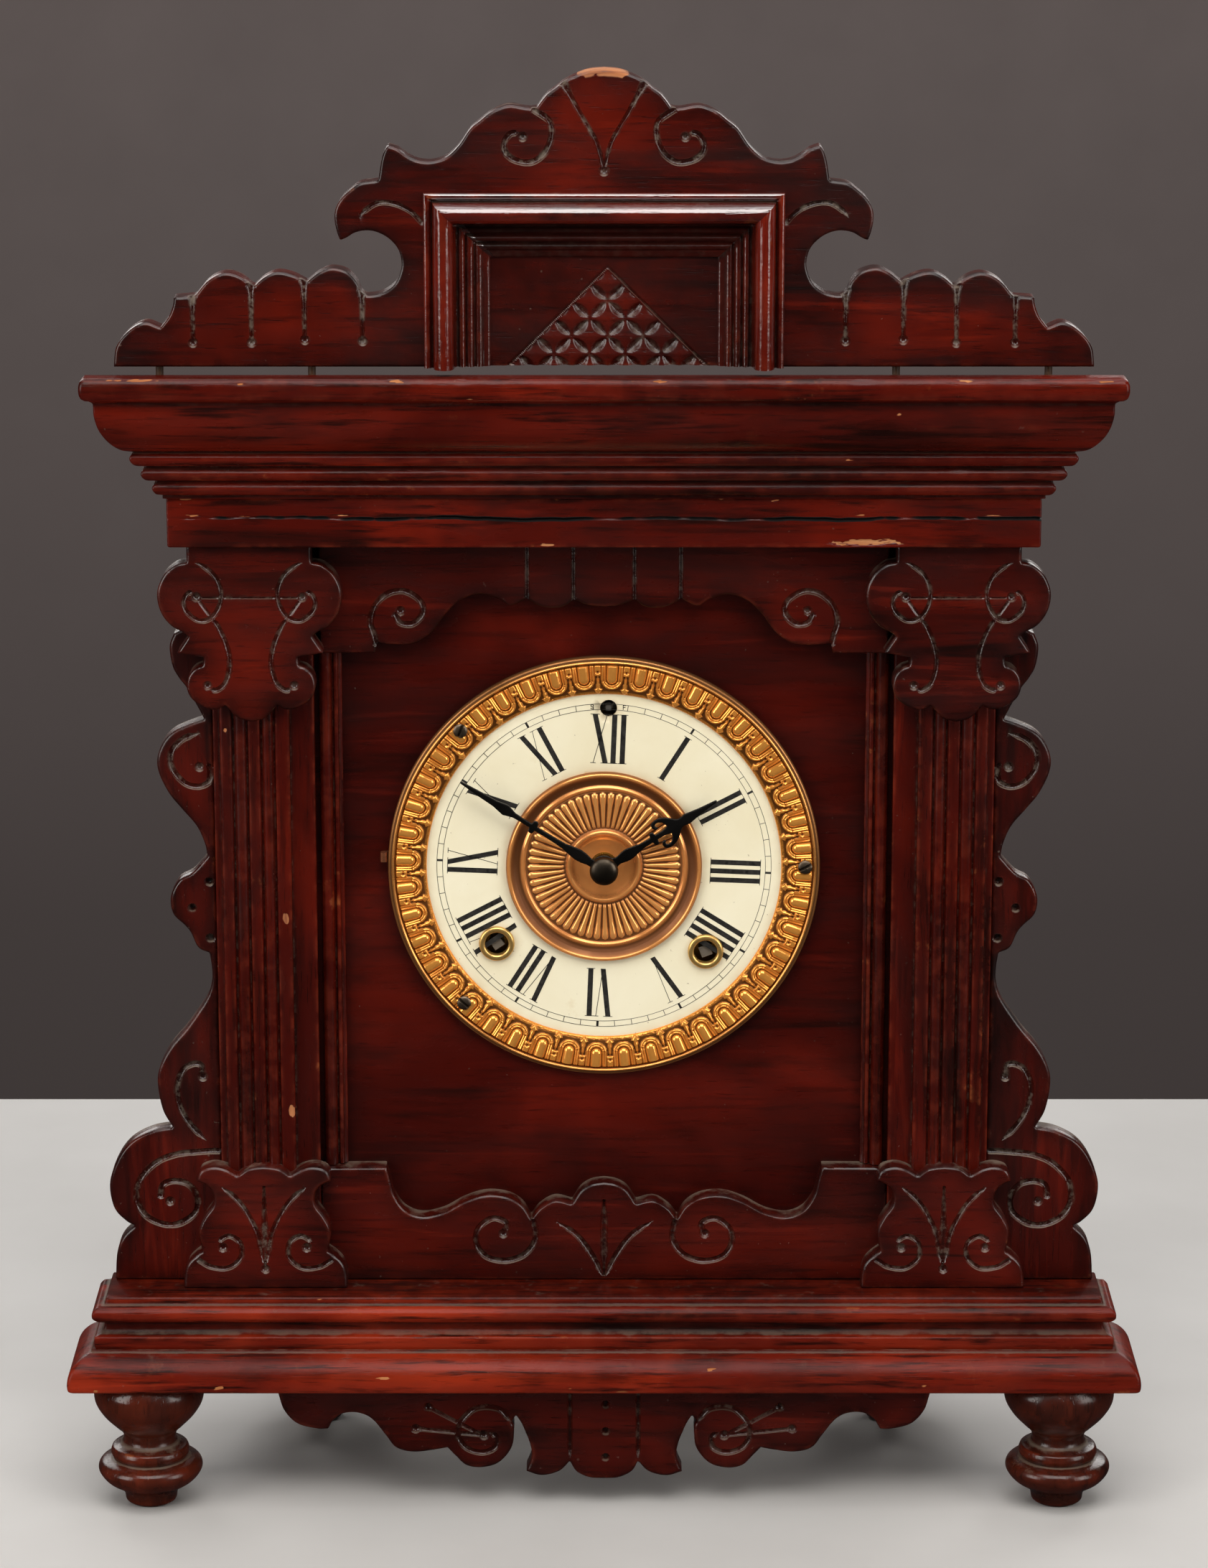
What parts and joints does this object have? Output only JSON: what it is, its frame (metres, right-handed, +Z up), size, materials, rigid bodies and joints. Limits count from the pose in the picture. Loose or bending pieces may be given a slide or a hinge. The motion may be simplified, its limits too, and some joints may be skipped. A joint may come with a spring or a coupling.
{
  "type": "mantel clock",
  "caption": "Carved wooden architectural mantel clock with round dial, reeded pilasters, scrolled crest and side brackets, turned feet, key-wound striking movement and hinged back door.",
  "frame": {"origin": "centre of the footprint on the table, below the middle of the object's box", "axes": "+X to the viewer's right, +Y from the front to the back, +Z up"},
  "size_m": [0.4036, 0.1387, 0.5448],
  "materials": {
    "dark_wood": "dark red-brown stained and varnished hardwood, dusty and worn",
    "case_wood": "plain stained softwood",
    "pin_wood": "bare turned dowel",
    "gilt_brass": "embossed and gilt, partly tarnished",
    "brass": "aged brass",
    "dial_card": "cream chapter ring with printed numerals",
    "black_steel": "blackened steel",
    "steel": "aged bright steel",
    "blued_steel": "blued spring steel on an iron foot"
  },
  "bodies": {
    "case": {"base_slab": "dark_wood", "base_moulding": "dark_wood", "front_feet": "dark_wood", "rear_feet": "dark_wood", "base_apron": "dark_wood", "case_floor": "case_wood", "case_sides": "case_wood", "case_top": "case_wood", "back_frame": "case_wood", "front_panel": "dark_wood", "pilasters": "dark_wood", "capitals": "dark_wood", "plinths": "dark_wood", "jamb_strips": "dark_wood", "upper_frieze": "dark_wood", "lower_frieze": "dark_wood", "side_brackets": "dark_wood", "architrave": "dark_wood", "cornice_moulding": "dark_wood", "cornice_strip": "dark_wood", "crest_board": "dark_wood", "crest_frame": "dark_wood", "crest_pins": "pin_wood", "dial_rim": "gilt_brass", "dial_ring": "gilt_brass", "centre_pan": "gilt_brass", "chapter_ring": "dial_card", "winding_grommets": "brass", "sash_hinge": "brass", "case_hinge_leaves": "brass", "front_plate": "brass", "back_plate": "brass", "bezel_screws": "steel", "plate_pillars": "steel", "plate_nuts": "steel", "movement_screws": "steel", "mainsprings": "steel", "gong": "blued_steel"},
    "minute_hand": {"minute_hand": "black_steel", "hand_nut": "black_steel", "cannon_pinion": "brass"},
    "minute_wheel": {"minute_wheel": "brass"},
    "hour_hand": {"hour_hand": "black_steel", "hour_wheel": "brass"},
    "third_wheel": {"third_wheel": "brass"},
    "escape_wheel": {"escape_wheel": "brass"},
    "centre_arbor": {"centre_arbor": "brass"},
    "second_wheel": {"second_wheel": "brass"},
    "time_great_wheel": {"time_great_wheel": "brass"},
    "strike_great_wheel": {"strike_great_wheel": "brass"},
    "time_arbor": {"time_arbor": "steel"},
    "strike_arbor": {"strike_arbor": "steel"},
    "regulator_arbor": {"regulator_arbor": "steel"},
    "pendulum": {"pendulum_rod": "steel", "pendulum_bob": "brass"},
    "verge": {"verge": "steel"},
    "hammer": {"hammer": "steel"},
    "back_door": {"back_door": "case_wood", "door_hinge_leaves": "brass"},
    "turn_button": {"turn_button": "brass"}
  },
  "joints": [
    {"name": "minute_hand_spin", "type": "hinge", "parent": "case", "child": "minute_hand", "pos_m": [0, 0.00055, 0.245], "axis": [0, 1, 0], "continuous": true},
    {"name": "minute_wheel_spin", "type": "hinge", "parent": "case", "child": "minute_wheel", "pos_m": [-0.0192, 0.00055, 0.245], "axis": [0, 1, 0], "continuous": true},
    {"name": "hour_hand_spin", "type": "hinge", "parent": "case", "child": "hour_hand", "pos_m": [0, 0.00055, 0.245], "axis": [0, 1, 0], "continuous": true},
    {"name": "going_train", "type": "hinge", "parent": "case", "child": "third_wheel", "pos_m": [-0.01342, 0.00055, 0.26417], "axis": [0, 1, 0], "continuous": true},
    {"name": "escape_wheel_spin", "type": "hinge", "parent": "case", "child": "escape_wheel", "pos_m": [0, 0.00055, 0.2788], "axis": [0, 1, 0], "continuous": true},
    {"name": "centre_arbor_spin", "type": "hinge", "parent": "case", "child": "centre_arbor", "pos_m": [0, 0.00055, 0.245], "axis": [0, 1, 0], "continuous": true},
    {"name": "second_wheel_spin", "type": "hinge", "parent": "case", "child": "second_wheel", "pos_m": [0.02465, 0.00055, 0.2518], "axis": [0, 1, 0], "continuous": true},
    {"name": "time_great_wheel_spin", "type": "hinge", "parent": "case", "child": "time_great_wheel", "pos_m": [0.0381, 0.00055, 0.212], "axis": [0, 1, 0], "continuous": true},
    {"name": "strike_great_wheel_spin", "type": "hinge", "parent": "case", "child": "strike_great_wheel", "pos_m": [-0.0402, 0.00055, 0.2151], "axis": [0, 1, 0], "continuous": true},
    {"name": "time_winding", "type": "hinge", "parent": "case", "child": "time_arbor", "pos_m": [0.0381, 0.00055, 0.212], "axis": [0, 1, 0], "continuous": true},
    {"name": "strike_winding", "type": "hinge", "parent": "case", "child": "strike_arbor", "pos_m": [-0.0402, 0.00055, 0.2151], "axis": [0, 1, 0], "continuous": true},
    {"name": "regulator_turn", "type": "hinge", "parent": "case", "child": "regulator_arbor", "pos_m": [0.0017, 0.00055, 0.3058], "axis": [0, 1, 0], "continuous": true},
    {"name": "pendulum_swing", "type": "hinge", "parent": "case", "child": "pendulum", "pos_m": [0, 0.03075, 0.297], "axis": [0, 1, 0], "range_deg": [-4.5, 4.5]},
    {"name": "verge_rock", "type": "hinge", "parent": "case", "child": "verge", "pos_m": [0, 0.02055, 0.297], "axis": [0, 1, 0], "range_deg": [-4.5, 4.5]},
    {"name": "hammer_lift", "type": "hinge", "parent": "case", "child": "hammer", "pos_m": [-0.052, 0.02055, 0.262], "axis": [0, -1, 0], "range_deg": [0, 10]},
    {"name": "back_door_swing", "type": "hinge", "parent": "case", "child": "back_door", "pos_m": [-0.101, 0.06745, 0.23], "axis": [0, 0, 1], "range_deg": [0, 110]},
    {"name": "turn_button_turn", "type": "hinge", "parent": "case", "child": "turn_button", "pos_m": [0.108, 0.06655, 0.245], "axis": [0, 1, 0], "range_deg": [-90, 0]}
  ],
  "couplings": [
    {"joint": "minute_wheel_spin", "follows": "minute_hand_spin", "ratio": -0.33333},
    {"joint": "hour_hand_spin", "follows": "minute_hand_spin", "ratio": 0.083333},
    {"joint": "escape_wheel_spin", "follows": "going_train", "ratio": -10},
    {"joint": "centre_arbor_spin", "follows": "going_train", "ratio": -0.083333},
    {"joint": "second_wheel_spin", "follows": "going_train", "ratio": 0.027778},
    {"joint": "time_great_wheel_spin", "follows": "going_train", "ratio": -0.0046296},
    {"joint": "verge_rock", "follows": "pendulum_swing", "ratio": 1}
  ]
}
